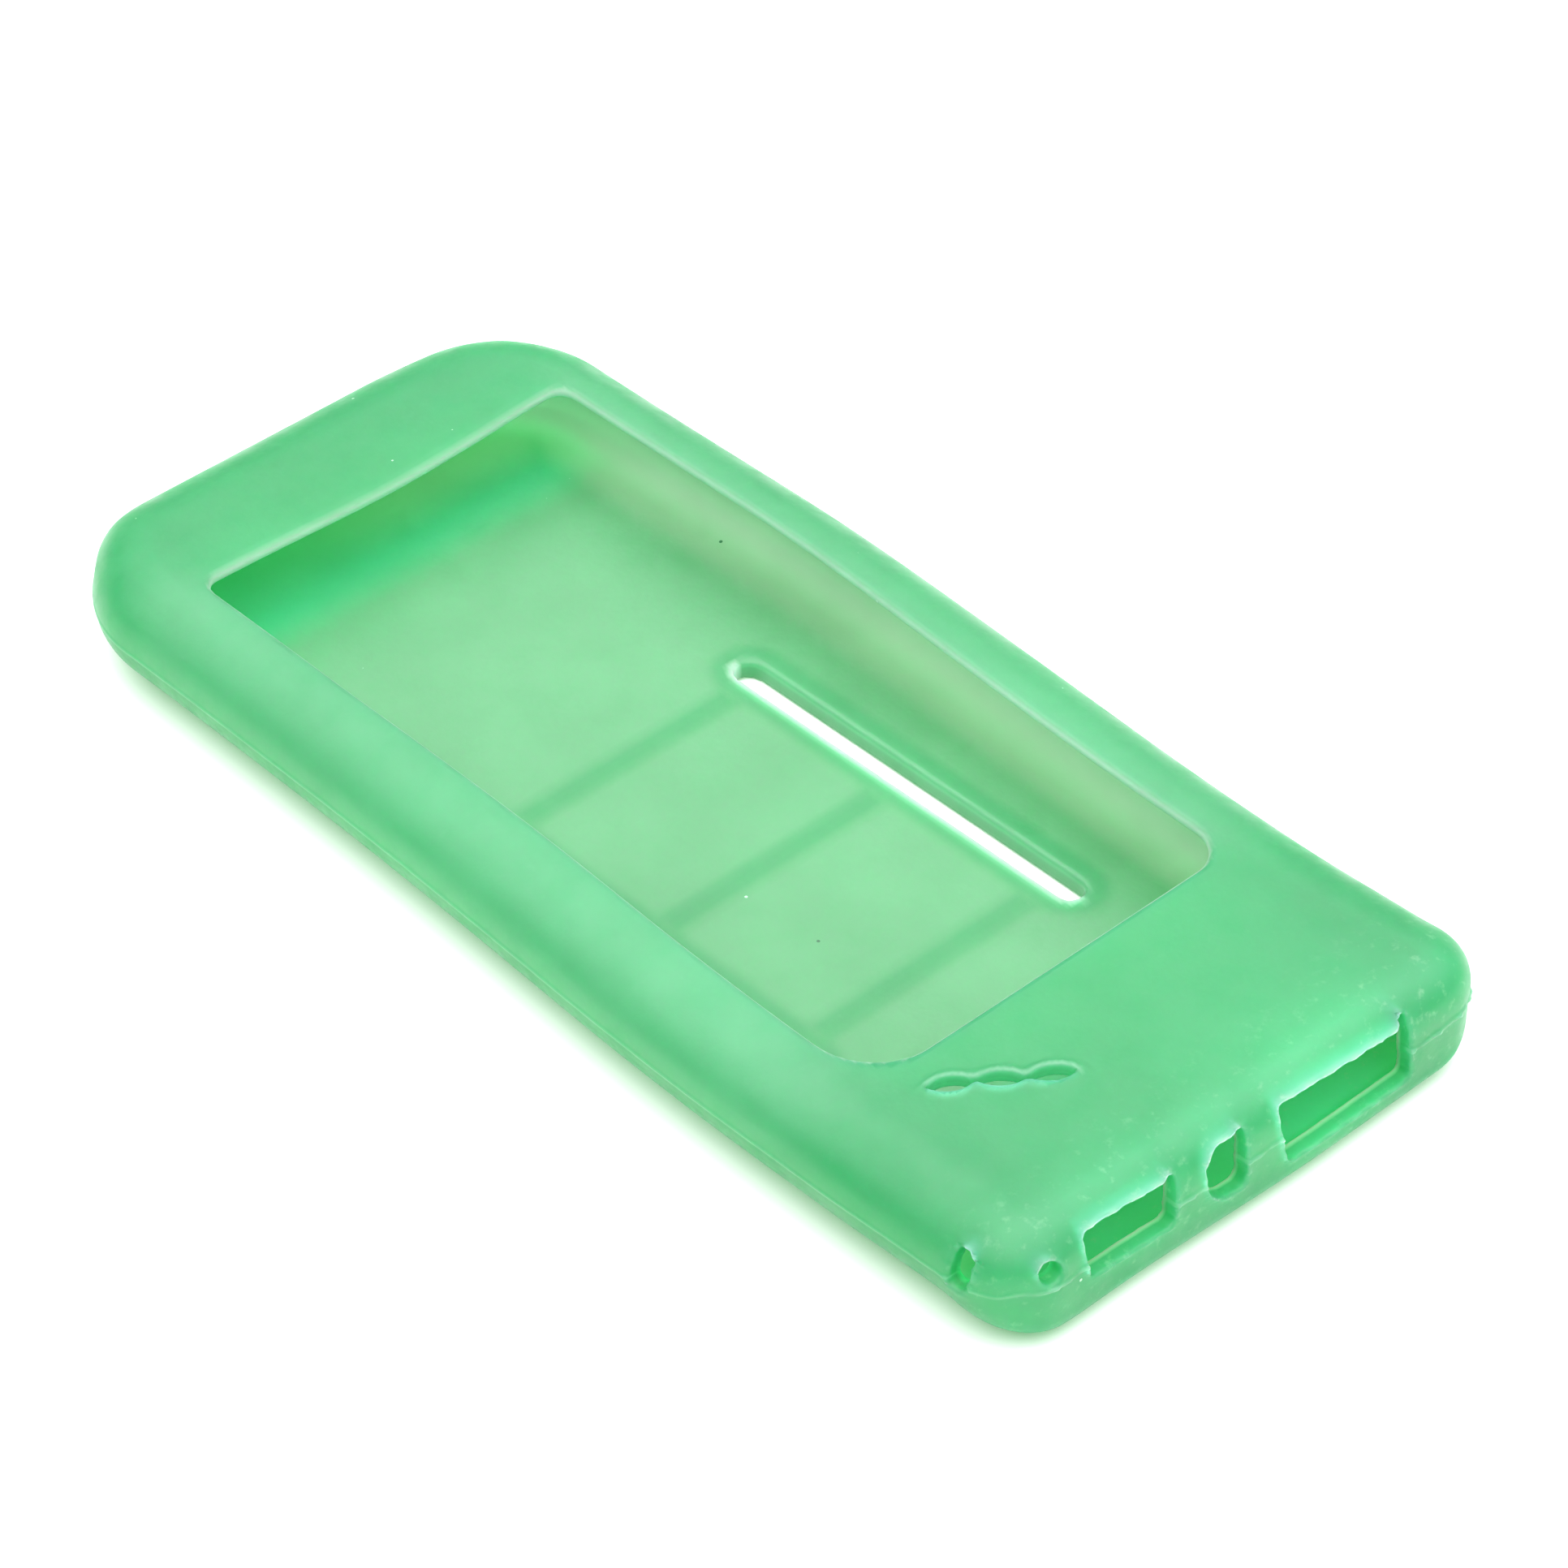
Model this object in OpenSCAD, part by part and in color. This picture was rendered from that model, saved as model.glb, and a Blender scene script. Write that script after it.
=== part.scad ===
// Soft silicone sleeve for a slim phone, lying on its back.
// It is one moulding. Its regions are modelled as separate closed solids that meet
// face to face: a back tray below the mould's parting line, a front frame above it,
// the front panels round the screen window, and a ladder of strap slots on the back.
// +X is the phone's right, +Y is its top and +Z points out of its screen. The origin
// is under the middle of the sleeve, on the surface that the sleeve lies on.

/* [Sleeve] */
// Width across the outside
sleeve_w = 50; // [48:0.2:54]
// Length along the outside
sleeve_l = 106.4; // [100:0.2:118]
// Thickness from the back panel's outer face to the front face
sleeve_t = 9; // [8.8:0.1:11]
// Radius of the two corners at the phone's top
corner_top = 11; // [9:0.5:12]
// Radius of the two corners at the phone's bottom
corner_bottom = 5.5; // [5:0.5:6.5]
// Thickness of the side and end walls
wall_t = 1.4; // [1.2:0.1:1.6]
// Thickness of the back panel
back_t = 1.2; // [0.8:0.1:1.4]
// Thickness of the lip that holds the phone in at the front
lip_t = 1; // [0.8:0.1:1.2]
// Height of the parting line above the back panel's outer face
parting_h = 4.6; // [4.2:0.1:5]

/* [Screen window] */
// Width of the window
window_w = 36; // [33:0.5:38]
// Length of the front face above the window
forehead_l = 13.1; // [11.5:0.1:14.5]
// Length of the front face below the window
chin_l = 19.8; // [18:0.1:22]
// Radius of the window's two upper corners
window_r_top = 1.5; // [0.5:0.1:2.5]
// Radius of the window's two lower corners
window_r_bottom = 3.5; // [2:0.1:4]

/* [Back ladder] */
// Distance between the middles of the two strap slots
slot_spacing = 27.2; // [23:0.1:28]
// Length of a strap slot
slot_l = 36.4; // [30:0.1:38]
// Width of a strap slot
slot_w = 2.4; // [1.5:0.1:3]
// Width of the raised rim round a slot
rim_w = 1.8; // [1.2:0.1:2.2]
// Distance that the rims and ribs stand out of the back
ladder_h = 0.5; // [0.3:0.1:1]
// Width of a cross rib
rib_w = 2.2; // [1.5:0.1:3]
// Distance between the middles of neighbouring cross ribs
rib_pitch = 15.8; // [13:0.1:16]

/* [Plug openings] */
// Width of the charging plug's opening
charge_w = 8.6; // [7.5:0.1:9]
// Height of the charging plug's opening
charge_h = 4.3; // [3.4:0.1:5]
// Width of the headphone opening
jack_w = 3.8; // [3.4:0.1:4.2]
// Height of the headphone opening
jack_h = 4.8; // [4.4:0.1:5.8]
// Width of the dock plug's opening
dock_w = 13; // [11:0.1:13.4]
// Height of the dock plug's opening
dock_h = 5.3; // [4.4:0.1:5.8]

/* [Hidden] */
$fn = 64;

mint = [0.41, 0.82, 0.57];
pale_mint = [0.57, 0.88, 0.65];
deep_mint = [0.48, 0.85, 0.6];

// Heights above the surface that the sleeve lies on
back_z = ladder_h;
cavity_floor_z = back_z + back_t;
parting_z = back_z + parting_h;
front_z = back_z + sleeve_t;
cavity_roof_z = front_z - lip_t;

// The walls' strip of the back and front faces, and its edges
edge_w = 4.2;
outer_round = 3.6;
inner_round = 2.3;

window_top_y = sleeve_l / 2 - forehead_l;
window_bottom_y = chin_l - sleeve_l / 2;
side_l = sleeve_l - corner_top - corner_bottom;
side_y = (corner_bottom - corner_top) / 2;

// Middle of the ladder of slots and ribs
ladder_x = -1.95;
ladder_y = -5.7;
rib_l = slot_spacing - slot_w - 2 * rim_w;

// Places of the openings in the bottom end, from left to right
charge_x = -13.2;
jack_x = -4.1;
dock_x = 7.7;
opening_top_z = cavity_roof_z - 0.3;
plug_r = 0.6;
jack_r = jack_w / 2 - 0.1;

// The two strap holes at the lower left corner, one in the end and one in the side
end_hole_r = 0.8;
end_hole_x = -20.6;
end_hole_z = parting_z + 1.8;
side_hole_w = 1.4;
side_hole_h = 3;
side_hole_y = -48;
side_hole_z = parting_z + 1.15;

lip_proud = 0.3;
lip_rim = 0.4;
lip_depth = 1;
bead_proud = 0.2;
bead_h = 0.4;

// The chin's slit: a row of eye-shaped openings joined by narrow necks
slit_eyes = 3;
slit_eye_l = 3.5;
slit_eye_h = 1.5;
slit_neck = 0.5;
slit_tilt = 5;
slit_x = -11.2;
slit_y = -39.1;
slit_angle = -34;

cut = 1;

// Panel outline with one radius at its upper corners and one at its lower corners
module panel_shape(half_w, bottom, top, r_bottom, r_top) {
    polygon([
        [r_bottom - half_w, bottom],
        [half_w - r_bottom, bottom],
        [half_w, bottom + r_bottom],
        [half_w, top - r_top],
        [half_w - r_top, top],
        [r_top - half_w, top],
        [-half_w, top - r_top],
        [-half_w, bottom + r_bottom]
    ]);
    for (side = [-1, 1]) {
        translate([side * (half_w - r_bottom), bottom + r_bottom]) circle(r_bottom);
        translate([side * (half_w - r_top), top - r_top]) circle(r_top);
    }
}

// Outline of the sleeve seen from the front, drawn in by inset all round
module sleeve_outline(inset) {
    panel_shape(
        sleeve_w / 2 - inset, inset - sleeve_l / 2, sleeve_l / 2 - inset,
        corner_bottom - inset, corner_top - inset
    );
}

module window_outline() {
    panel_shape(window_w / 2, window_bottom_y, window_top_y, window_r_bottom, window_r_top);
}

// Rectangle with rounded corners about the origin
module rounded_slot(w, h, r) {
    panel_shape(w / 2, -h / 2, h / 2, r, r);
}

// Straight slot with round ends about the origin, along X
module capsule(length, d) {
    square([length - d, d], center = true);
    for (side = [-1, 1]) translate([side * (length - d) / 2, 0]) circle(d / 2);
}

// What a rounding of radius r takes off a corner at the origin, or what a fillet adds
module corner_fill(r) {
    difference() {
        square(r);
        translate([r, r]) circle(r);
    }
}

// Section of the wall below the parting line: X runs inwards, Y is the height
module tray_section() {
    difference() {
        translate([0, back_z]) square([edge_w, parting_h]);
        translate([wall_t, cavity_floor_z]) square([edge_w, parting_h]);
        translate([0, back_z]) corner_fill(outer_round);
    }
    translate([wall_t, cavity_floor_z]) corner_fill(inner_round);
}

// Section of the wall above the parting line
module frame_section() {
    difference() {
        translate([0, parting_z]) square([edge_w, front_z - parting_z]);
        translate([wall_t, parting_z - cut]) square([edge_w, cavity_roof_z - parting_z + cut]);
        translate([0, front_z]) mirror([0, 1]) corner_fill(outer_round);
    }
    translate([wall_t, cavity_roof_z]) mirror([0, 1]) corner_fill(inner_round);
}

// Section of the thin flash that the mould leaves along its parting line
module bead_section() {
    translate([-bead_proud, parting_z - bead_h / 2]) square([bead_proud, bead_h]);
}

// A wall section along the left side
module side_sweep() {
    translate([-sleeve_w / 2, side_y, 0])
        rotate([90, 0, 0])
            linear_extrude(side_l, center = true) children();
}

// A wall section along one end and round its two corners, at the top end
module end_sweep(corner_r) {
    straight = sleeve_w - 2 * corner_r;
    translate([0, sleeve_l / 2, 0])
        rotate([90, 0, -90])
            linear_extrude(straight, center = true) children();
    for (flip = [0, 1]) {
        mirror([flip, 0, 0])
            translate([straight / 2, sleeve_l / 2 - corner_r, 0])
                rotate_extrude(angle = 90)
                    translate([corner_r, 0]) mirror([1, 0]) children();
    }
}

// A shape drawn in X and Z, pushed through the bottom end wall
module through_end(x, z) {
    translate([x, edge_w - sleeve_l / 2, z])
        rotate([90, 0, 0])
            linear_extrude(edge_w + cut) children();
}

// A plug's opening through the bottom end, with its top level with the other two
module port(x, w, h, r) {
    through_end(x, opening_top_z - h / 2) rounded_slot(w, h, r);
}

// Everything that opens the bottom end and the lower left side
module end_openings() {
    port(charge_x, charge_w, charge_h, plug_r);
    port(jack_x, jack_w, jack_h, jack_r);
    port(dock_x, dock_w, dock_h, plug_r);
    through_end(end_hole_x, end_hole_z) circle(end_hole_r);
    translate([-sleeve_w / 2 - cut, side_hole_y, side_hole_z])
        rotate([0, 90, 0])
            linear_extrude(edge_w + cut) capsule(side_hole_h, side_hole_w);
}

module strap_slots() {
    for (side = [-1, 1]) {
        translate([ladder_x + side * slot_spacing / 2, ladder_y, back_z - cut])
            linear_extrude(back_t + 2 * cut) rotate(90) capsule(slot_l, slot_w);
    }
}

// Eye-shaped opening about the origin, pointed at both ends, along X
module eye(length, h) {
    r = (length * length + h * h) / (4 * h);
    intersection() {
        translate([0, r - h / 2]) circle(r);
        translate([0, h / 2 - r]) circle(r);
    }
}

// Row of eyes along X, tilted one way and the other so that its edges wave
module wavy_slit() {
    pitch = slit_eye_l * cos(slit_tilt);
    sway = slit_eye_l * sin(slit_tilt) / 2;
    for (i = [0:slit_eyes - 1]) {
        translate([(i - (slit_eyes - 1) / 2) * pitch, 0])
            rotate((i % 2 == 0 ? 1 : -1) * slit_tilt)
                eye(slit_eye_l, slit_eye_h);
    }
    for (i = [1:slit_eyes - 1]) {
        translate([(i - slit_eyes / 2) * pitch, (i % 2 == 0 ? -1 : 1) * sway])
            circle(slit_neck / 2);
    }
}

module back_panel() {
    color(pale_mint)
        difference() {
            translate([0, 0, back_z]) linear_extrude(back_t) sleeve_outline(edge_w);
            strap_slots();
        }
}

module slot_rim(side) {
    color(deep_mint)
        translate([ladder_x + side * slot_spacing / 2, ladder_y, 0])
            linear_extrude(ladder_h)
                rotate(90)
                    difference() {
                        capsule(slot_l + 2 * rim_w, slot_w + 2 * rim_w);
                        capsule(slot_l, slot_w);
                    }
}

module cross_rib(step) {
    color(deep_mint)
        translate([ladder_x - rib_l / 2, ladder_y + step * rib_pitch - rib_w / 2, 0])
            cube([rib_l, rib_w, ladder_h]);
}

module tray_wall_left() {
    color(mint)
        difference() {
            side_sweep() tray_section();
            end_openings();
        }
}

module tray_wall_right() {
    color(mint) mirror([1, 0, 0]) side_sweep() tray_section();
}

module tray_wall_top() {
    color(mint) end_sweep(corner_top) tray_section();
}

module tray_wall_bottom() {
    color(mint)
        difference() {
            mirror([0, 1, 0]) end_sweep(corner_bottom) tray_section();
            end_openings();
        }
}

module frame_wall_left() {
    color(mint)
        difference() {
            side_sweep() frame_section();
            end_openings();
        }
}

module frame_wall_right() {
    color(mint) mirror([1, 0, 0]) side_sweep() frame_section();
}

module frame_wall_top() {
    color(mint) end_sweep(corner_top) frame_section();
}

module frame_wall_bottom() {
    color(mint)
        difference() {
            mirror([0, 1, 0]) end_sweep(corner_bottom) frame_section();
            end_openings();
        }
}

// The front face inside the walls' strip, between two heights along Y
module front_band(from_y, to_y) {
    translate([0, 0, cavity_roof_z])
        linear_extrude(lip_t)
            difference() {
                intersection() {
                    sleeve_outline(edge_w);
                    translate([-sleeve_w / 2, from_y]) square([sleeve_w, to_y - from_y]);
                }
                window_outline();
            }
}

module bezel(side) {
    bezel_w = (sleeve_w - window_w) / 2 - edge_w;
    bezel_l = window_top_y - window_r_top - window_bottom_y - window_r_bottom;
    color(mint)
        translate([
            side * (window_w + bezel_w) / 2 - bezel_w / 2,
            window_bottom_y + window_r_bottom,
            cavity_roof_z
        ])
            cube([bezel_w, bezel_l, lip_t]);
}

module forehead_panel() {
    color(mint) front_band(window_top_y - window_r_top, sleeve_l / 2);
}

module chin_panel() {
    color(mint)
        difference() {
            front_band(-sleeve_l / 2, window_bottom_y + window_r_bottom);
            translate([slit_x, slit_y, cavity_roof_z - cut])
                linear_extrude(lip_t + 2 * cut) rotate(slit_angle) wavy_slit();
        }
}

module parting_bead() {
    color(pale_mint)
        difference() {
            union() {
                side_sweep() bead_section();
                mirror([1, 0, 0]) side_sweep() bead_section();
                end_sweep(corner_top) bead_section();
                mirror([0, 1, 0]) end_sweep(corner_bottom) bead_section();
            }
            end_openings();
        }
}

// Raised lip on the outside of the bottom end, under and beside an opening
module port_lip(x, w, h, r) {
    z = opening_top_z - h / 2;
    color(pale_mint)
        difference() {
            translate([x, lip_depth - sleeve_l / 2, 0])
                rotate([90, 0, 0])
                    linear_extrude(lip_depth + lip_proud)
                        difference() {
                            translate([0, z]) rounded_slot(w + 2 * lip_rim, h + 2 * lip_rim, r + lip_rim);
                            translate([0, z]) rounded_slot(w, h, r);
                            translate([-w, parting_z - bead_h / 2]) square([2 * w, sleeve_t]);
                        }
            mirror([0, 1, 0])
                end_sweep(corner_bottom)
                    difference() {
                        translate([0, back_z]) square([edge_w, parting_h]);
                        translate([0, back_z]) corner_fill(outer_round);
                    }
        }
}

module charge_port_lip() {
    port_lip(charge_x, charge_w, charge_h, plug_r);
}

module jack_port_lip() {
    port_lip(jack_x, jack_w, jack_h, jack_r);
}

module dock_port_lip() {
    port_lip(dock_x, dock_w, dock_h, plug_r);
}

back_panel();
slot_rim(-1);  // slot_rim_left
slot_rim(1);  // slot_rim_right
cross_rib(1);  // cross_rib_top
cross_rib(0);  // cross_rib_middle
cross_rib(-1);  // cross_rib_bottom
tray_wall_left();
tray_wall_right();
tray_wall_top();
tray_wall_bottom();
frame_wall_left();
frame_wall_right();
frame_wall_top();
frame_wall_bottom();
bezel(-1);  // bezel_left
bezel(1);  // bezel_right
forehead_panel();
chin_panel();
parting_bead();
charge_port_lip();
jack_port_lip();
dock_port_lip();
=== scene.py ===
"""Looks of the soft silicone phone sleeve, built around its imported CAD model.

The sleeve is one moulding, so one continuous skin stands for all the CAD regions. The skin is the
zero surface of a distance field: a hollow rounded body, cut by the window, the strap slots, the
plug openings and the chin's slit, with the flash that the mould leaves. Its net of points is then
flexed like the real, slightly slack sleeve. Lengths here are millimetres until the mesh is made.
"""
import math

import bpy
import numpy as np
from mathutils import Matrix, Vector


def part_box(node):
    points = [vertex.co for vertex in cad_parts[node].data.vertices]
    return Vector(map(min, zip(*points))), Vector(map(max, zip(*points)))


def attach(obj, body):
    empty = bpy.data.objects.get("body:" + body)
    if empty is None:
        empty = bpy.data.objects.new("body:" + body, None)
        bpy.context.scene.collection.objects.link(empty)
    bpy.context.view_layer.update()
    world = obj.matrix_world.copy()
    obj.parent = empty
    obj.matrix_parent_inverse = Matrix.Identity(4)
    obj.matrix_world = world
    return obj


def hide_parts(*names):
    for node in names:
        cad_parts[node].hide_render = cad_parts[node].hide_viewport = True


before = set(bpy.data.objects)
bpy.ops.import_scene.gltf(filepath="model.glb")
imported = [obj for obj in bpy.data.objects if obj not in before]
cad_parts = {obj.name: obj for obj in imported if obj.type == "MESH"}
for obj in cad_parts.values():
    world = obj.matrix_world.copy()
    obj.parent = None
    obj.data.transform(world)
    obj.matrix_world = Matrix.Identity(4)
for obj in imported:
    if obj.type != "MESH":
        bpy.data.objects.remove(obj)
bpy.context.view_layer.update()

MM = 0.001


# ---------------------------------------------------------------- sizes from the frame

def span(node):
    """Lowest and highest corner of a CAD node, in millimetres."""
    low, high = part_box(node)
    return np.array(low) / MM, np.array(high) / MM


HALF_W = span("frame_wall_right")[1][0] - 0.15
TOP_Y = span("frame_wall_top")[1][1]
BOTTOM_Y = span("frame_wall_bottom")[0][1]
BACK_Z, FLOOR_Z = span("back_panel")[0][2], span("back_panel")[1][2]
ROOF_Z, FRONT_Z = span("chin_panel")[0][2], span("chin_panel")[1][2]
PARTING_Z = span("frame_wall_left")[0][2]
CORNER_TOP = TOP_Y - span("frame_wall_top")[0][1]
CORNER_BOTTOM = span("frame_wall_bottom")[1][1] - BOTTOM_Y
WALL = 1.4

WINDOW_LEFT = span("bezel_left")[1][0]
WINDOW_RIGHT = span("bezel_right")[0][0]
WINDOW_R_TOP = 1.5
WINDOW_R_BOTTOM = 3.5
WINDOW_TOP = span("bezel_left")[1][1] + WINDOW_R_TOP
WINDOW_BOTTOM = span("bezel_left")[0][1] - WINDOW_R_BOTTOM

# Half widths of the walls' roundings (inwards from the outline), below and above the parting
# line: the sides and the top end are one long curve, the bottom end is squarer
SIDE_LOW, SIDE_HIGH = 5.5, 5.8
END_LOW, END_HIGH = 1.5, 3.5
END_LOW_RISE, END_HIGH_DROP = 1.5, 3.3

# Width of the bottom corners where one kind of rounding blends into the other, and the least
# half width of a rounding of the hollow
CORNER_BLEND = 7
HOLLOW_MIN_CURVE = 1.2

# How far the edges of each kind of opening are rounded
HOLLOW_EDGE = 0.15
WINDOW_EDGE = 0.5
SLOT_EDGE = 0.3
PORT_EDGE = 0.15
HOLE_EDGE = 0.22
SLIT_EDGE = 0.15

# Widths of the slots' rims and of the plug openings' lips, inside the boxes of those nodes
RIM = 1.8
LIP = 0.4
RIGHT_SLOT_X = (span("slot_rim_right")[0][0] + span("slot_rim_right")[1][0]) / 2

PORT_TOP = ROOF_Z - 0.3
PORT_DEPTH = 4
PLUG_R = 0.7

# Each opening's distortion: how far its top right corner is torn upwards, how far its right side
# leans per millimetre of height, and how much its sill rises per millimetre towards the left
PORTS = {
    "charge_port_lip": (0.4, 0.26, 0.04),
    "jack_port_lip": (0.4, 0.18, 0),
    "dock_port_lip": (1.0, 0.14, 0),
}

END_HOLE_X, END_HOLE_Z, END_HOLE_R = -20.6, PARTING_Z + 1.8, 0.85
SIDE_HOLE_Y, SIDE_HOLE_Z = -48.0, PARTING_Z + 1.15
SIDE_HOLE_W, SIDE_HOLE_H = 1.45, 3.0

SLIT_X, SLIT_Y = -11.2, -39.1
SLIT_ANGLE = math.radians(-34)
SLIT_EYES = 3
SLIT_EYE_L = 3.5
SLIT_EYE_H = 1.5
SLIT_TILT = math.radians(5)
SLIT_PITCH = SLIT_EYE_L * math.cos(SLIT_TILT)
SLIT_NECK = 0.4

# How far the parting line stands out along the sides and on the bottom end, and the flash
SEAM_SIDE, SEAM_END = 0.09, 0.16
FLASH = 0.1


# ---------------------------------------------------------------- colours and light

# Base colour of the silicone in each kind of place, with light and shade painted in. Only the
# front's tone is the silicone's own colour. The sides, the low band under the parting line and the
# bottom end are lit and shaded copies of it; the inside is painted a brighter green and the back
# and the inner walls paler, as painted light that comes through the thin walls; the underside and
# the ribs are painted shade; the slots, the window's edge, the flash and the parting line are
# painted highlights, the flash partly also its own paler colour
SILICONE_AND_PAINTED_LIGHT = {
    "front": (0.023, 0.22, 0.081),
    "side": (0.048, 0.232, 0.103),
    "tray": (0.036, 0.20, 0.084),
    "end": (0.03, 0.25, 0.10),
    "painted_inner_glow": (0.042, 0.48, 0.185),
    "lit_inner_wall": (0.33, 0.42, 0.32),
    "painted_underside_shade": (0.015, 0.10, 0.035),
    "back": (0.089, 0.275, 0.13),
    "ladder": (0.041, 0.225, 0.09),
    "slot": (0.55, 0.75, 0.60),
    "window_edge_highlight": (0.26, 0.44, 0.30),
    "flash": (0.12, 0.33, 0.19),
}
WORN_COLOUR = (0.16, 0.38, 0.22)
DUST_COLOUR = (0.40, 0.60, 0.45)
MARK_COLOUR = (0.02, 0.07, 0.04)

# How far red, green and blue light spread inside the silicone, in millimetres, and the share of
# the light behind each face that passes through it
SCATTER_REACH = (5, 15, 8)
WALL_TINT = (0.47, 0.79, 0.5)

# Strength of the surroundings: the horizon's up to HORIZON_TOP, the sine of an elevation, and
# from there rising to the zenith's
HORIZON_TOP = 0.25
HORIZON_STRENGTH, ZENITH_STRENGTH = 0.1, 4.0

# The camera looks at the sleeve's middle. Its shifts and its distance are in metres
CAMERA_AZIMUTH = math.radians(-44.02)
CAMERA_ELEVATION = math.radians(40.43)
CAMERA_ROLL = math.radians(0.67)
CAMERA_DISTANCE = 0.4178
CAMERA_RIGHT, CAMERA_UP = 0.00328, 0.00287
LENS, SENSOR = 129.2, 36.0

FLOOR_SIZE = 6.0
FLOOR_GAP = 0.00002


# ---------------------------------------------------------------- distance helpers

def smoothstep(low, high, value):
    """From 0 at low to 1 at high, level at both. Low may be above high."""
    t = np.clip((value - low) / (high - low), 0, 1)
    return t * t * (3 - 2 * t)


def bell(value, width):
    """1 where the value is 0, falling off within about its width."""
    return np.exp(-(value / width) ** 2)


def join(a, b, k):
    """Union of two solids with a fillet of about k."""
    h = np.clip(0.5 + 0.5 * (b - a) / k, 0, 1)
    return b + (a - b) * h - k * h * (1 - h)


def cut(a, b, k):
    """Solid a without solid b, its new edges rounded by about k."""
    return -join(-a, b, k)


def panel(x, y, left, right, bottom, top, radius):
    """Distance to a rounded rectangle in the plane. The radius may vary from place to place."""
    qx = np.abs(x - (left + right) / 2) - (right - left) / 2 + radius
    qy = np.abs(y - (bottom + top) / 2) - (top - bottom) / 2 + radius
    return np.minimum(np.maximum(qx, qy), 0) + np.hypot(np.maximum(qx, 0), np.maximum(qy, 0)) - radius


def slab(flat, z, low, high, radius):
    """Distance to a flat shape made solid between two heights, with rounded edges."""
    qa = flat + radius
    qz = np.abs(z - (low + high) / 2) - (high - low) / 2 + radius
    return np.minimum(np.maximum(qa, qz), 0) + np.hypot(np.maximum(qa, 0), np.maximum(qz, 0)) - radius


def rounded_body(flat, z, low, high, a_low, b_low, a_high, b_high):
    """Distance to a flat shape made solid between two heights, with elliptic edges.

    Each ellipse reaches a inwards and b along z, and the shape is widest at the parting line."""
    upper = z > PARTING_Z
    a = np.where(upper, a_high, a_low)
    b = np.where(upper, b_high, b_low)
    inward = np.maximum(flat + a, 0)
    along = np.maximum(np.where(upper, z - high, low - z) + b, 0)
    ratio = np.hypot(inward / a, along / b)
    slope = np.maximum(np.hypot(inward / a ** 2, along / b ** 2), 1e-6)
    return np.where(ratio < 1e-6, -np.minimum(a, b), ratio * (ratio - 1) / slope)


def ripple(t, *waves):
    """Sum of sines, each given as its height, its length and its start."""
    return sum(height * np.sin(2 * math.pi * t / length + start) for height, length, start in waves)


# ---------------------------------------------------------------- the sleeve's field

def outline(x, y, inset):
    """Distance to the sleeve's outline seen from the front, drawn inwards by the inset."""
    radius = np.where(y > 0, CORNER_TOP, CORNER_BOTTOM) - inset
    return panel(x, y, inset - HALF_W, HALF_W - inset, BOTTOM_Y + inset, TOP_Y - inset, radius)


def window(x, y):
    """Distance to the screen window. Its bottom left corner is the rounder one."""
    radius = np.where(y > 0, WINDOW_R_TOP, WINDOW_R_BOTTOM + 2 * smoothstep(0, -10, x))
    return panel(x, y, WINDOW_LEFT, WINDOW_RIGHT, WINDOW_BOTTOM, WINDOW_TOP, radius)


def strap_slots(x, y):
    """Distance to the nearer strap slot, seen from the front."""
    nearest = np.full(np.broadcast(x, y).shape, 1e3)
    for node in ("slot_rim_left", "slot_rim_right"):
        low, high = span(node)
        half = (high[0] - low[0]) / 2 - RIM
        nearest = np.minimum(
            nearest, panel(x, y, low[0] + RIM, high[0] - RIM, low[1] + RIM, high[1] - RIM, half))
    return nearest


def ladder(x, y):
    """Distance to the raised rims and cross ribs, seen from the front."""
    nearest = strap_slots(x, y) - RIM
    for node in ("cross_rib_top", "cross_rib_middle", "cross_rib_bottom"):
        low, high = span(node)
        nearest = join(nearest, panel(x, y, low[0], high[0], low[1], high[1], 0.1), 0.8)
    return nearest


def across_slit(x, y):
    """How far a point is above the slit's long axis."""
    return (y - SLIT_Y) * math.cos(SLIT_ANGLE) - (x - SLIT_X) * math.sin(SLIT_ANGLE)


def slit(x, y):
    """Distance to the chin's row of eye-shaped openings."""
    along = (x - SLIT_X) * math.cos(SLIT_ANGLE) + (y - SLIT_Y) * math.sin(SLIT_ANGLE)
    across = across_slit(x, y)
    arc = (SLIT_EYE_L ** 2 + SLIT_EYE_H ** 2) / (4 * SLIT_EYE_H)
    sway = SLIT_EYE_L * math.sin(SLIT_TILT) / 2
    nearest = np.full(np.broadcast(x, y).shape, 1e3)
    for i in range(SLIT_EYES):
        side = 1 if i % 2 == 0 else -1
        a = along - (i - (SLIT_EYES - 1) / 2) * SLIT_PITCH
        u = a * math.cos(SLIT_TILT) + side * across * math.sin(SLIT_TILT)
        v = across * math.cos(SLIT_TILT) - side * a * math.sin(SLIT_TILT)
        upper = np.hypot(u, v - arc + SLIT_EYE_H / 2) - arc
        lower = np.hypot(u, v + arc - SLIT_EYE_H / 2) - arc
        nearest = np.minimum(nearest, np.maximum(upper, lower))
        if i > 0:
            neck = np.hypot(a + SLIT_PITCH / 2, across + side * sway) - SLIT_NECK / 2
            nearest = join(nearest, neck, 0.2)
    return nearest


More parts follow.
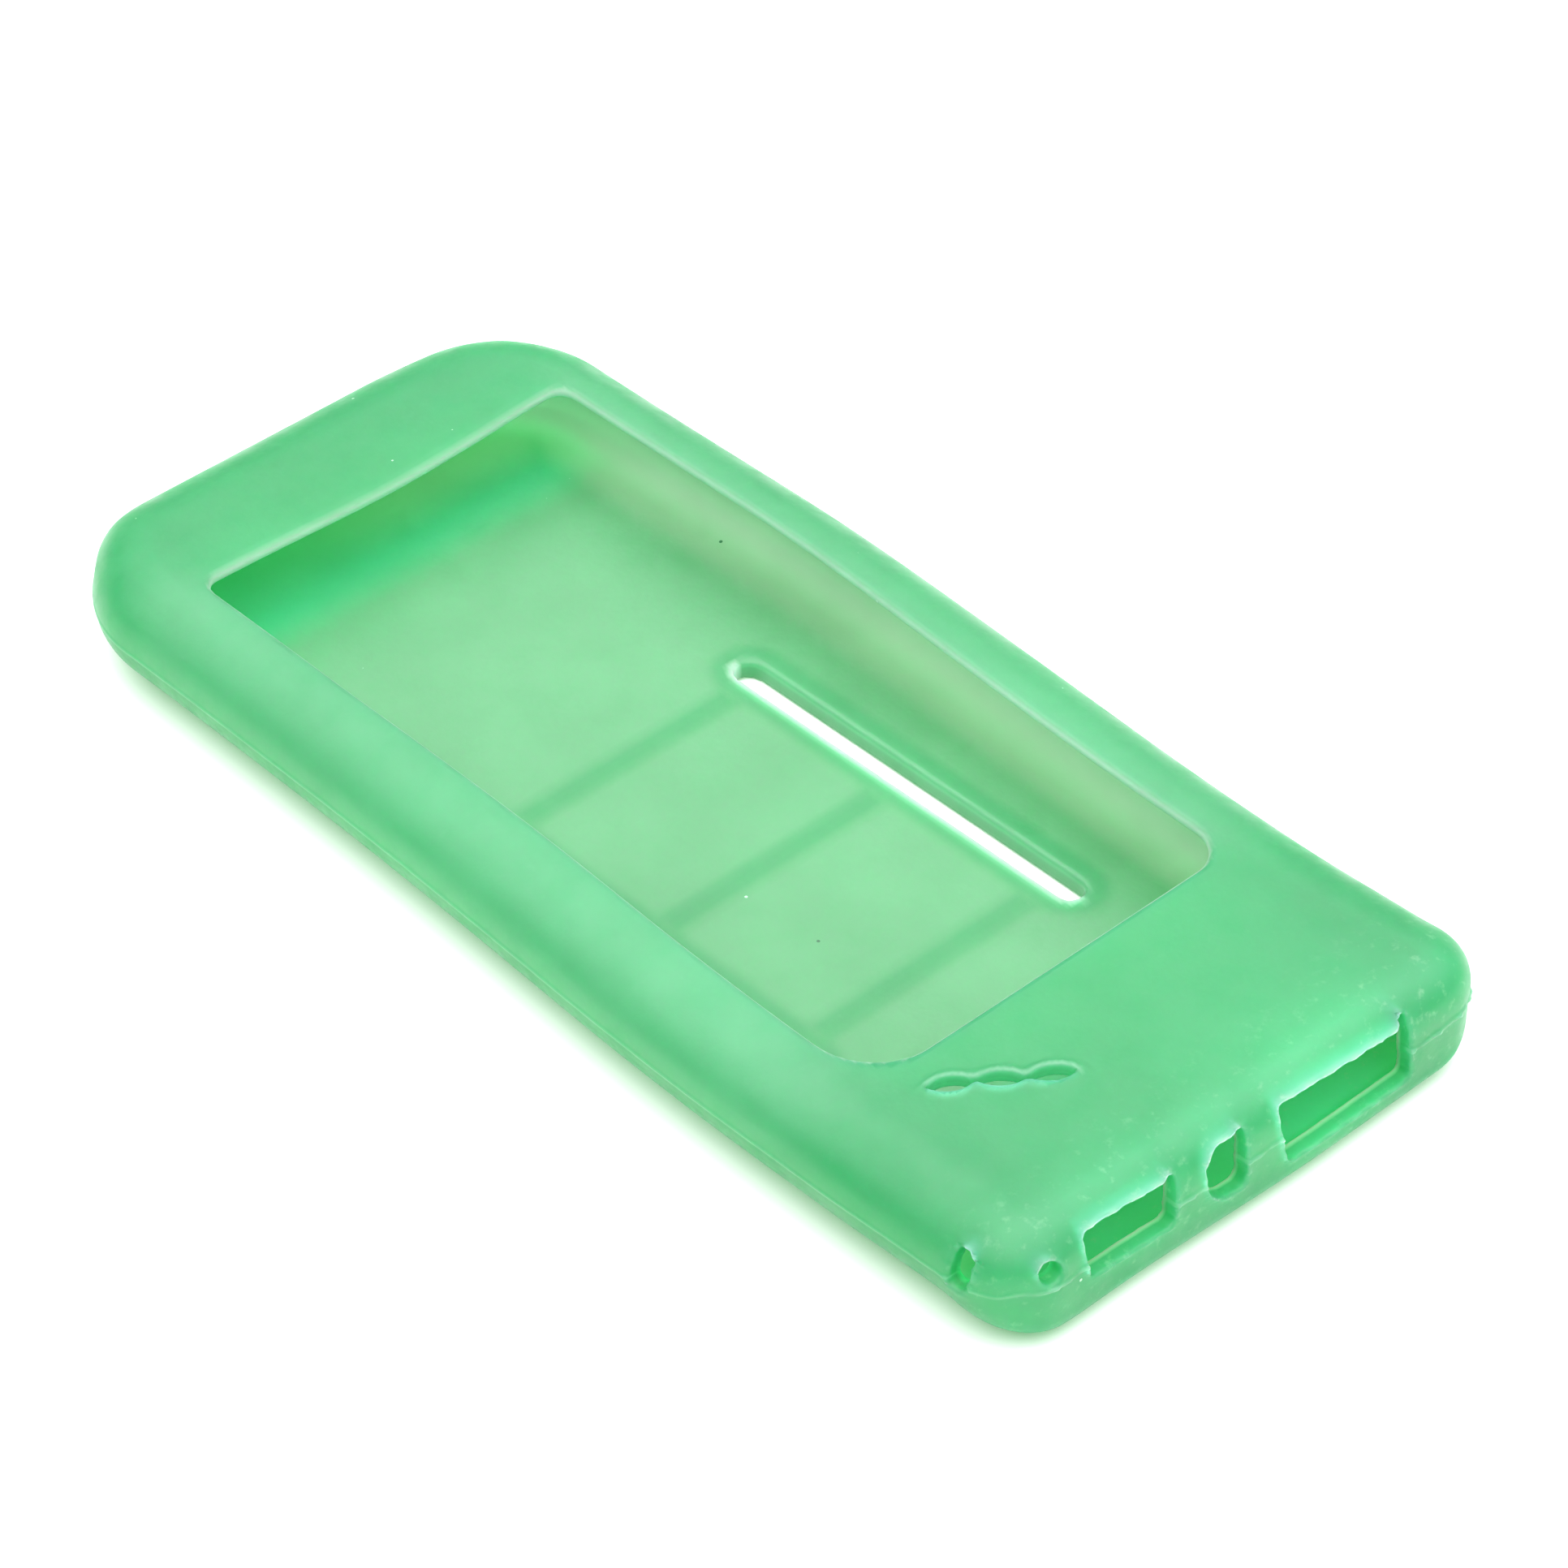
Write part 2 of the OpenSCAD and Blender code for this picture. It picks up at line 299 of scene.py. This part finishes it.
def end_ports(x, z):
    """Distance to the nearer of the three plug openings, seen from the bottom end."""
    rag = ripple(x, (0.02, 2.9, 0.4), (0.015, 0.97, 1.1)) + ripple(z, (0.03, 1.3, 2.0))
    nearest = np.full(np.broadcast(x, z).shape, 1e3)
    for node, (tear, lean, rise) in PORTS.items():
        low, high = span(node)
        left, right, base = low[0] + LIP, high[0] - LIP, low[2] + LIP
        round_left = (right - left) / 2 - 0.1 if node == "jack_port_lip" else PLUG_R
        radius = np.where(x < (left + right) / 2, round_left, PLUG_R)
        bent_x = x - lean * (z - (base + PORT_TOP) / 2) * smoothstep(left, right, x)
        droop = 0.03 * (left - x) + tear * smoothstep(right - 1.3, right, bent_x)
        sill = rise * (right - x) * smoothstep(base + 1.5, base, z)
        bent_z = z - droop * smoothstep(base + 1, PORT_TOP - 0.5, z) - sill
        nearest = np.minimum(nearest, panel(bent_x, bent_z, left, right, base, PORT_TOP, radius))
    return nearest + rag


def strap_holes(x, y, z):
    """Distance to the pair of small holes through the corner at the bottom left."""
    round_hole = np.hypot(x - END_HOLE_X, z - END_HOLE_Z) - END_HOLE_R
    end_hole = np.maximum(round_hole, y - BOTTOM_Y - PORT_DEPTH)
    tall = panel(
        y, z, SIDE_HOLE_Y - SIDE_HOLE_W / 2, SIDE_HOLE_Y + SIDE_HOLE_W / 2,
        SIDE_HOLE_Z - SIDE_HOLE_H / 2, SIDE_HOLE_Z + SIDE_HOLE_H / 2, SIDE_HOLE_W / 2 - 0.05)
    side_hole = np.maximum(tall, x + HALF_W - PORT_DEPTH)
    return np.minimum(end_hole, side_hole)


def on_end_face(y):
    """How far a point belongs to the outer face of the bottom end."""
    return smoothstep(BOTTOM_Y + 2.5, BOTTOM_Y + 0.8, y)


def seam(x, y, z):
    """How far the mould's parting line stands out. On the bottom end it is higher, wavy and ragged."""
    at_end = on_end_face(y)
    at_corner = bell(x + HALF_W, 5) * smoothstep(BOTTOM_Y + 9, BOTTOM_Y + 3, y)
    wave = 0.5 + ripple(x, (0.12, 9, 0.5), (0.05, 2.3, 1.0))
    middle = PARTING_Z + 0.3 * at_corner + wave * at_end
    ragged = 1 + at_end * ripple(x + y, (0.5, 3.1, 0.2), (0.4, 1.3, 0.9))
    height = SEAM_SIDE + (SEAM_END - SEAM_SIDE) * at_end
    return height * ragged * bell(z - middle, 0.13 + 0.05 * at_end)


def flash(x, y, z):
    """How far the flash around the openings of the bottom end stands out of the outer face."""
    ragged = 1 + ripple(x + z, (0.5, 2.1, 0.7))
    port_rims = on_end_face(y) * ragged * bell(end_ports(x, z) - 0.15, 0.15)
    hole_rims = bell(strap_holes(x, y, z) - 0.2, 0.25)
    return FLASH * (port_rims + hole_rims)


def body(x, y, z):
    """Distances to the solid outer shape and to the hollow inside it."""
    past_side = np.maximum(np.abs(x) - HALF_W + CORNER_BLEND, 0) ** 2
    past_end = np.maximum(BOTTOM_Y + CORNER_BLEND - y, 0) ** 2
    at_end = past_end / (past_end + past_side + 0.01)
    a_low = SIDE_LOW + (END_LOW - SIDE_LOW) * at_end
    a_high = SIDE_HIGH + (END_HIGH - SIDE_HIGH) * at_end
    b_low = PARTING_Z - BACK_Z + (END_LOW_RISE - PARTING_Z + BACK_Z) * at_end
    b_high = FRONT_Z - PARTING_Z + (END_HIGH_DROP - FRONT_Z + PARTING_Z) * at_end
    outer = rounded_body(outline(x, y, 0), z, BACK_Z, FRONT_Z, a_low, b_low, a_high, b_high)
    a_low = np.maximum(a_low - WALL, HOLLOW_MIN_CURVE)
    b_low = np.clip(b_low - 0.6, HOLLOW_MIN_CURVE, PARTING_Z - FLOOR_Z)
    b_high = np.minimum(b_high - 1, ROOF_Z - PARTING_Z)
    hollow = rounded_body(
        outline(x, y, WALL), z, FLOOR_Z, ROOF_Z, a_low, b_low, a_high - WALL, b_high)
    return outer, hollow


def sleeve(x, y, z):
    """Signed distance to the sleeve at rest, negative inside the silicone."""
    outer, hollow = body(x, y, z)
    shape = cut(outer - seam(x, y, z) - flash(x, y, z), hollow, HOLLOW_EDGE)
    raised = slab(ladder(x, y), z, 0, FLOOR_Z - 0.2, 0.15)
    shape = join(shape, raised, 0.35)
    slit_swelling = 0.14 * bell(slit(x, y) - 0.25, 0.2) * smoothstep(PARTING_Z, FRONT_Z, z)
    shape = cut(shape - slit_swelling, np.maximum(window(x, y), PARTING_Z - z), WINDOW_EDGE)
    shape = cut(shape, np.maximum(strap_slots(x, y), z - PARTING_Z), SLOT_EDGE)
    shape = cut(shape, np.maximum(end_ports(x, z), y - BOTTOM_Y - PORT_DEPTH), PORT_EDGE)
    shape = cut(shape, strap_holes(x, y, z), HOLE_EDGE)
    return cut(shape, np.maximum(slit(x, y), PARTING_Z - z), SLIT_EDGE)


# ---------------------------------------------------------------- from field to mesh

def steps(low, high, coarse, *fine):
    """Coordinates from low to high, coarse apart, and finer inside each (from, to, step) span."""
    points = [low]
    while points[-1] < high:
        step = coarse
        for start, end, small in fine:
            if start <= points[-1] < end:
                step = small
        points.append(points[-1] + step)
    return np.array(points)


def field_on_grid(xs, ys, zs):
    """The sleeve's field on a grid, worked out one slice along Y at a time to save memory."""
    field = np.empty((len(xs), len(ys), len(zs)), dtype=np.float32)
    for j, y in enumerate(ys):
        field[:, j, :] = sleeve(xs[:, None], np.array([[y]]), zs[None, :])
    return field


def surface_net(field, axes):
    """Quads round the field's zero surface, one point in each grid cell that the surface crosses."""
    shape = np.array(field.shape)
    cell_shape = shape - 1
    stride = np.array([cell_shape[1] * cell_shape[2], cell_shape[2], 1])
    inside = field < 0
    crossings = []
    for axis in range(3):
        near = [slice(None)] * 3
        far = [slice(None)] * 3
        near[axis] = slice(0, -1)
        far[axis] = slice(1, None)
        near, far = tuple(near), tuple(far)
        index = np.argwhere(inside[near] != inside[far])
        value_near, value_far = field[near][tuple(index.T)], field[far][tuple(index.T)]
        point = np.stack([axes[a][index[:, a]] for a in range(3)], axis=1)
        share = value_near / (value_near - value_far)
        gap = axes[axis][index[:, axis] + 1] - axes[axis][index[:, axis]]
        point[:, axis] += share * gap
        side_a, side_b = stride[(axis + 1) % 3], stride[(axis + 2) % 3]
        base = index @ stride
        ring = np.stack([base, base - side_a, base - side_a - side_b, base - side_b], axis=1)
        ring[value_near > 0] = ring[value_near > 0][:, ::-1]
        crossings.append((point, ring))
    cells = np.concatenate([ring.ravel() for _, ring in crossings])
    points = np.concatenate([np.repeat(point, 4, axis=0) for point, _ in crossings])
    _, owner = np.unique(cells, return_inverse=True)
    count = np.bincount(owner)
    net = np.stack([np.bincount(owner, points[:, a]) / count for a in range(3)], axis=1)
    return net, owner.reshape(-1, 4)


def settle(points, rounds=2):
    """Moves points onto the field's zero surface along its slope."""
    h = 0.02
    for _ in range(rounds):
        x, y, z = points.T
        value = sleeve(x, y, z)
        slope = np.stack([
            sleeve(x + h, y, z) - sleeve(x - h, y, z),
            sleeve(x, y + h, z) - sleeve(x, y - h, z),
            sleeve(x, y, z + h) - sleeve(x, y, z - h)], axis=1) / (2 * h)
        steep = np.maximum((slope ** 2).sum(axis=1), 0.2)
        points = points - slope * np.clip(value / steep, -0.1, 0.1)[:, None]
    return points


def flex(points):
    """Bends the resting sleeve the way the slack one lies: its walls and front lean sideways in a
    long S, its ends bulge, and its back stays straight on the surface."""
    x, y, z = points.T
    away_from_back = np.maximum(smoothstep(14, 21, np.abs(x)), smoothstep(FLOOR_Z + 0.3, ROOF_Z - 1, z))
    lean = 0.5 - 1.8 * smoothstep(20, -30, y) + 0.3 * smoothstep(-35, -46, y)
    spread = 0.1 - 0.4 * smoothstep(8, 40, np.abs(y))
    top_bulge = 0.85 * smoothstep(21, 8, x) * smoothstep(-24, -16, x)
    bottom_bulge = 0.7 * smoothstep(-16, 6, x) * smoothstep(27, 18, x)
    at_front = smoothstep(PARTING_Z, ROOF_Z, z)
    window_end = (0.5 * smoothstep(8, 18, x) - 0.7 * bell(x, 11)) * bell(y - WINDOW_TOP, 6) * at_front
    right_side = 0.5 * smoothstep(8, 17, x) * smoothstep(23, 18.5, x) * smoothstep(-15, 25, y)
    left_side = 0.5 * smoothstep(-8, -17, x) * smoothstep(-23, -18.5, x) * smoothstep(-5, 25, y)
    right_corner = bell(np.hypot(x - HALF_W, y - BOTTOM_Y), 6) * at_front
    new_x = x + lean * away_from_back + np.sign(x) * spread * smoothstep(10, 24, np.abs(x))
    new_x += (right_side - left_side) * at_front + 0.5 * right_corner
    new_y = y + top_bulge * smoothstep(30, 53, y) - bottom_bulge * smoothstep(-30, -53, y) + window_end
    return np.stack([new_x, new_y, z], axis=1)


def make_mesh(name, points, quads):
    """Smooth mesh in metres from points in millimetres and quads."""
    mesh = bpy.data.meshes.new(name)
    mesh.vertices.add(len(points))
    mesh.vertices.foreach_set("co", (points * MM).astype(np.float32).ravel())
    mesh.loops.add(quads.size)
    mesh.loops.foreach_set("vertex_index", quads.astype(np.int32).ravel())
    mesh.polygons.add(len(quads))
    mesh.polygons.foreach_set("loop_start", np.arange(0, quads.size, 4, dtype=np.int32))
    mesh.polygons.foreach_set("use_smooth", np.ones(len(quads), dtype=bool))
    mesh.update(calc_edges=True)
    mesh.validate()
    return mesh


def add_object(name, mesh):
    obj = bpy.data.objects.new(name, mesh)
    bpy.context.scene.collection.objects.link(obj)
    return obj


def lining(x, y, z):
    """1 on the hollow's surface, fading out within half a millimetre of it."""
    return smoothstep(0.5, 0.1, body(x, y, z)[1])


def lit_inner_wall(x, y, z):
    """How far a point belongs to the inner wall that is painted pale for the light coming through it: at
    the sides, the bottom end and the top right.
    """
    at_side = smoothstep(17, 20, np.abs(x)) * smoothstep(BOTTOM_Y + 5, BOTTOM_Y + 10, y)
    at_top_right = smoothstep(-10, 10, x) * smoothstep(41, 46, y)
    at_end = smoothstep(19, 17, np.abs(x)) * smoothstep(BOTTOM_Y + 4, BOTTOM_Y + 2, y)
    return lining(x, y, z) * np.maximum(
        np.maximum(at_side, at_top_right) * smoothstep(FLOOR_Z - 0.8, FLOOR_Z + 0.8, z),
        at_end * smoothstep(FLOOR_Z + 0.4, FLOOR_Z + 1.4, z))


def paint(points):
    """Colour of the silicone at each point of the resting sleeve, with light and shade painted in.

    Only the front keeps the silicone's own colour. The thin back is painted pale under the window,
    for the white surface and the sky that shine through it, and the inside a brighter green for the
    light that comes through the walls. The sides, the low band and the bottom end are lit and shaded
    copies, the underside and the ribs are painted shade, and the thin edges, the slots, the flash and
    the parting line are paler still as painted highlights."""
    x, y, z = points.T
    inside = lining(x, y, z)
    low = smoothstep(FLOOR_Z + 1.8, FLOOR_Z + 0.2, z)
    high = smoothstep(ROOF_Z - 0.3, ROOF_Z + 0.3, z)
    below_front = smoothstep(FRONT_Z, FRONT_Z - 0.25, z)
    below_window_top = smoothstep(WINDOW_TOP + 1, WINDOW_TOP - 4, y)
    above_window_bottom = smoothstep(WINDOW_BOTTOM - 2, WINDOW_BOTTOM + 1, y)
    back = inside * low * below_window_top * above_window_bottom
    at_side = smoothstep(16, 19, np.abs(x)) * smoothstep(-38, -28, y) * smoothstep(46, 38, y)
    slot_glow = 0.05 + 0.55 * smoothstep(RIGHT_SLOT_X + 0.2, RIGHT_SLOT_X - 0.2, x)
    above_slit = smoothstep(-0.2, 0.2, across_slit(x, y) / math.cos(SLIT_ANGLE))
    flash_crest = np.clip(flash(x, y, z) / (2 * FLASH), 0, 1) ** 3
    seam_highlight = 0.6 * np.clip(seam(x, y, z) / SEAM_SIDE, 0, 1) ** 2
    colour = np.tile(SILICONE_AND_PAINTED_LIGHT["front"], (len(points), 1))
    for tone, weight in (
            # Painted light: the long sides are painted paler to lift the dim light that reaches them
            ("side", at_side * smoothstep(PARTING_Z - 1, PARTING_Z + 1, z)),
            # Painted light: the low band under the parting line is toned paler and greyer for how the
            # white surface lights it
            ("tray", smoothstep(PARTING_Z + 0.2, PARTING_Z - 0.4, z)),
            # Painted shade: the rounded bottom edge is painted dark green for the shade under it
            ("painted_underside_shade", smoothstep(0.8, 0.2, z) * smoothstep(-3, -1, outline(x, y, 0))),
            # Painted light: the bottom end is painted a little brighter green than the front for how
            # light falls on its face
            ("end", smoothstep(BOTTOM_Y + 5, BOTTOM_Y + 1.5, y)),
            # Painted light: the whole inside is painted a brighter, deeper green for the light that
            # reaches it through the walls
            ("painted_inner_glow", inside),
            # Painted light: the back is painted pale only under the window, where the sky and the white
            # surface shine through it
            ("back", back),
            # Painted shade: the ribs and rims on the back are painted darker for the thicker silicone
            # that lets less light through
            ("ladder", back * smoothstep(0.7, -0.7, ladder(x, y))),
            # Painted light: the inner walls are painted pale, as if lit through from outside
            ("lit_inner_wall", lit_inner_wall(x, y, z)),
            # Painted highlight: the slots' walls are painted near white, on the left slot and the left
            # side of the right one
            ("slot", low * slot_glow * smoothstep(0.8, 0, np.abs(strap_slots(x, y)))),
            # Painted light: the window's edge face is painted paler, lifting its shade and drawing a
            # pale rim line
            ("window_edge_highlight", high * below_front * bell(window(x, y), 0.3)),
            # Painted highlight: a pale line on the slit's upper rim only
            ("flash", 0.7 * high * above_slit * bell(slit(x, y) - 0.1, 0.15)),
            # Partly the thin flash's own paler colour, partly a painted highlight along the crests of
            # the flash and the parting line
            ("flash", (1 - inside) * (flash_crest + seam_highlight))):
        colour += (np.array(SILICONE_AND_PAINTED_LIGHT[tone]) - colour) * weight[:, None]
    return colour


def wear(points):
    """How worn and dusty the resting sleeve is, from 0 to 1: most on its bottom end."""
    x, y, z = points.T
    at_end = smoothstep(BOTTOM_Y + 9, BOTTOM_Y + 1, y)
    at_right_corner = bell(np.hypot(x - HALF_W, y - BOTTOM_Y), 9)
    return np.clip(0.06 + 0.7 * at_end + 0.5 * at_right_corner, 0, 1)


def translucency(points):
    """How translucent the silicone looks, from 0 to 1: less on the inner wall that is painted pale as
    painted light.
    """
    return 1 - 0.75 * lit_inner_wall(*points.T)


def store(mesh, name, kind, field, values):
    """Keeps a value or a colour for each point of the mesh, for the material to read."""
    attribute = mesh.attributes.new(name, kind, "POINT")
    attribute.data.foreach_set(field, values.astype(np.float32).ravel())


def make_skin():
    """The whole sleeve as one mesh. The grid is finer at the parting line, the slit and the end."""
    xs = steps(-HALF_W - 0.8, HALF_W + 0.8, 0.36)
    ys = steps(BOTTOM_Y - 0.8, TOP_Y + 0.8, 0.7, (BOTTOM_Y - 1, BOTTOM_Y + 3, 0.18), (-42, -34, 0.25))
    zs = steps(-0.6, FRONT_Z + 0.6, 0.2, (PARTING_Z - 0.7, PARTING_Z + 0.7, 0.1))
    net, quads = surface_net(field_on_grid(xs, ys, zs), (xs, ys, zs))
    points = settle(net)
    mesh = make_mesh("silicone_sleeve", flex(points), quads)
    opaque = np.ones((len(points), 1))
    store(mesh, "silicone_colour_and_painted_light", "FLOAT_COLOR", "color", np.hstack([paint(points), opaque]))
    store(mesh, "wear", "FLOAT", "value", wear(points))
    store(mesh, "translucency", "FLOAT", "value", translucency(points))
    return add_object("silicone_sleeve", mesh)


# ---------------------------------------------------------------- materials

def new_material(name):
    """New material with its nodes and its links."""
    material = bpy.data.materials.new(name)
    material.use_nodes = True
    return material, material.node_tree.nodes, material.node_tree.links


def let_light_through(nodes, links, shader, tint):
    """Lets lamps shine tinted through the thin walls, which scattering alone stops too soon."""
    path = nodes.new("ShaderNodeLightPath")
    clear = nodes.new("ShaderNodeBsdfTransparent")
    clear.inputs["Color"].default_value = (*tint, 1)
    mix = nodes.new("ShaderNodeMixShader")
    links.new(path.outputs["Is Shadow Ray"], mix.inputs[0])
    links.new(shader.outputs["BSDF"], mix.inputs[1])
    links.new(clear.outputs["BSDF"], mix.inputs[2])
    links.new(mix.outputs["Shader"], nodes["Material Output"].inputs["Surface"])


def add_node(nodes, kind, **values):
    """New node with its named inputs set. Names stand for the sockets' own, spaces as underscores."""
    node = nodes.new(kind)
    for name, value in values.items():
        node.inputs[name.replace("_", " ")].default_value = value
    return node


def read_attribute(nodes, name):
    node = nodes.new("ShaderNodeAttribute")
    node.attribute_name = name
    return node


def remap(nodes, links, value, low, high, to_low, to_high):
    """Smoothly maps a node's value from low..high to to_low..to_high."""
    node = add_node(
        nodes, "ShaderNodeMapRange", From_Min=low, From_Max=high, To_Min=to_low, To_Max=to_high)
    node.interpolation_type = "SMOOTHSTEP"
    links.new(value, node.inputs["Value"])
    return node.outputs["Result"]


def mix_colour(nodes, links, factor, below, above):
    """Lays the colour above over the node output below."""
    mix = nodes.new("ShaderNodeMix")
    mix.data_type = "RGBA"
    links.new(factor, mix.inputs["Factor"])
    links.new(below, mix.inputs["A"])
    mix.inputs["B"].default_value = (*above, 1)
    return mix.outputs["Result"]


def clouds(nodes, links, place, size, detail):
    """Noise of the given size in millimetres, round 0.5."""
    noise = add_node(nodes, "ShaderNodeTexNoise", Scale=1 / (size * MM), Detail=detail, Roughness=0.6)
    links.new(place, noise.inputs["Vector"])
    return noise.outputs["Fac"]


def specks(nodes, links, place, spacing, radius):
    """Small dots, one in each cell of the spacing, both in millimetres. Their sizes differ."""
    cells = add_node(nodes, "ShaderNodeTexVoronoi", Scale=1 / (spacing * MM))
    links.new(place, cells.inputs["Vector"])
    pick = nodes.new("ShaderNodeSeparateColor")
    links.new(cells.outputs["Color"], pick.inputs["Color"])
    size = remap(nodes, links, pick.outputs["Red"], 0.55, 1.0, 0.0, radius / spacing)
    dot = nodes.new("ShaderNodeMath")
    dot.operation = "LESS_THAN"
    links.new(cells.outputs["Distance"], dot.inputs[0])
    links.new(size, dot.inputs[1])
    return dot.outputs["Value"]


def silicone_material():
    """Cloudy translucent silicone with dust, small dark marks and worn, paler patches."""
    material, nodes, links = new_material("silicone")
    shader = nodes["Principled BSDF"]
    place = nodes.new("ShaderNodeTexCoord").outputs["Object"]

    mottling = remap(nodes, links, clouds(nodes, links, place, 14, 2), 0.3, 0.7, 0.93, 1.07)
    cloudy = nodes.new("ShaderNodeVectorMath")
    cloudy.operation = "SCALE"
    # The colour attribute holds the silicone's colour with the painted light and shade from paint()
    links.new(read_attribute(nodes, "silicone_colour_and_painted_light").outputs["Color"], cloudy.inputs[0])
    links.new(mottling, cloudy.inputs["Scale"])

    grain = remap(nodes, links, clouds(nodes, links, place, 0.9, 4), 0.55, 0.8, 0.0, 0.7)
    worn = nodes.new("ShaderNodeMath")
    worn.operation = "MULTIPLY"
    links.new(grain, worn.inputs[0])
    links.new(read_attribute(nodes, "wear").outputs["Fac"], worn.inputs[1])

    dust = specks(nodes, links, place, spacing=3.1, radius=0.13)
    marks = specks(nodes, links, place, spacing=5.3, radius=0.16)
    colour = mix_colour(nodes, links, worn.outputs["Value"], cloudy.outputs["Vector"], WORN_COLOUR)
    colour = mix_colour(nodes, links, dust, colour, DUST_COLOUR)
    colour = mix_colour(nodes, links, marks, colour, MARK_COLOUR)
    links.new(colour, shader.inputs["Base Color"])

    gloss = remap(nodes, links, clouds(nodes, links, place, 3, 4), 0.35, 0.7, 0.38, 0.55)
    links.new(gloss, shader.inputs["Roughness"])
    bump = add_node(nodes, "ShaderNodeBump", Strength=0.25, Distance=0.05 * MM)
    links.new(clouds(nodes, links, place, 0.5, 3), bump.inputs["Height"])
    links.new(bump.outputs["Normal"], shader.inputs["Normal"])

    translucent = read_attribute(nodes, "translucency")
    links.new(translucent.outputs["Fac"], shader.inputs["Subsurface Weight"])
    shader.inputs["Subsurface Radius"].default_value = SCATTER_REACH
    shader.inputs["Subsurface Scale"].default_value = MM
    let_light_through(nodes, links, shader, WALL_TINT)
    return material


def floor_material():
    """Matt white, like the surface that the sleeve lies on."""
    material, nodes, _ = new_material("pale_floor")
    shader = nodes["Principled BSDF"]
    shader.inputs["Base Color"].default_value = (0.9, 0.9, 0.9, 1)
    shader.inputs["Roughness"].default_value = 0.9
    return material


# ---------------------------------------------------------------- the object

skin = make_skin()
skin.data.materials.append(silicone_material())
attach(skin, "root")
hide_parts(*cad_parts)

# ---------------------------------------------------------------- stage, lights and camera

bpy.ops.mesh.primitive_plane_add(size=FLOOR_SIZE, location=(0, 0, -FLOOR_GAP))
floor = bpy.context.object
floor.name = "floor"
floor.data.materials.append(floor_material())


def make_world():
    """White studio surroundings, bright overhead and dim near the horizon."""
    world = bpy.data.worlds.new("studio")
    world.use_nodes = True
    nodes, links = world.node_tree.nodes, world.node_tree.links
    place = nodes.new("ShaderNodeTexCoord")
    split = nodes.new("ShaderNodeSeparateXYZ")
    links.new(place.outputs["Generated"], split.inputs["Vector"])
    strength = remap(
        nodes, links, split.outputs["Z"], HORIZON_TOP, 1.0, HORIZON_STRENGTH, ZENITH_STRENGTH)
    links.new(strength, nodes["Background"].inputs["Strength"])
    nodes["Background"].inputs["Color"].default_value = (1, 1, 1, 1)
    return world


def area_light(name, place, aim, size, power):
    """Square lamp that shines from its place towards its aim."""
    data = bpy.data.lights.new(name, "AREA")
    data.size = size
    data.energy = power
    light = bpy.data.objects.new(name, data)
    bpy.context.scene.collection.objects.link(light)
    light.location = place
    light.rotation_euler = (Vector(aim) - Vector(place)).to_track_quat("-Z", "Y").to_euler()


def make_camera():
    """Camera that looks at the sleeve's middle, shifted a little along its own right and up."""
    back = Vector((
        math.sin(CAMERA_AZIMUTH) * math.cos(CAMERA_ELEVATION),
        -math.cos(CAMERA_AZIMUTH) * math.cos(CAMERA_ELEVATION),
        math.sin(CAMERA_ELEVATION)))
    level = Vector((math.cos(CAMERA_AZIMUTH), math.sin(CAMERA_AZIMUTH), 0))
    raised = back.cross(level)
    right = level * math.cos(CAMERA_ROLL) + raised * math.sin(CAMERA_ROLL)
    up = raised * math.cos(CAMERA_ROLL) - level * math.sin(CAMERA_ROLL)
    data = bpy.data.cameras.new("camera")
    data.lens = LENS
    data.sensor_width = SENSOR
    camera = bpy.data.objects.new("camera", data)
    bpy.context.scene.collection.objects.link(camera)
    place = back * CAMERA_DISTANCE + right * CAMERA_RIGHT + up * CAMERA_UP
    place.z += BACK_Z * MM
    turn = Matrix((right, up, back)).transposed()
    camera.matrix_world = Matrix.Translation(place) @ turn.to_4x4()
    return camera


bpy.context.scene.world = make_world()
area_light("overhead_softbox", place=(0.1, 0.2, 0.9), aim=(0, 0, 0), size=1.0, power=0.5)
bpy.context.scene.camera = make_camera()
bpy.context.scene.view_settings.view_transform = "Standard"
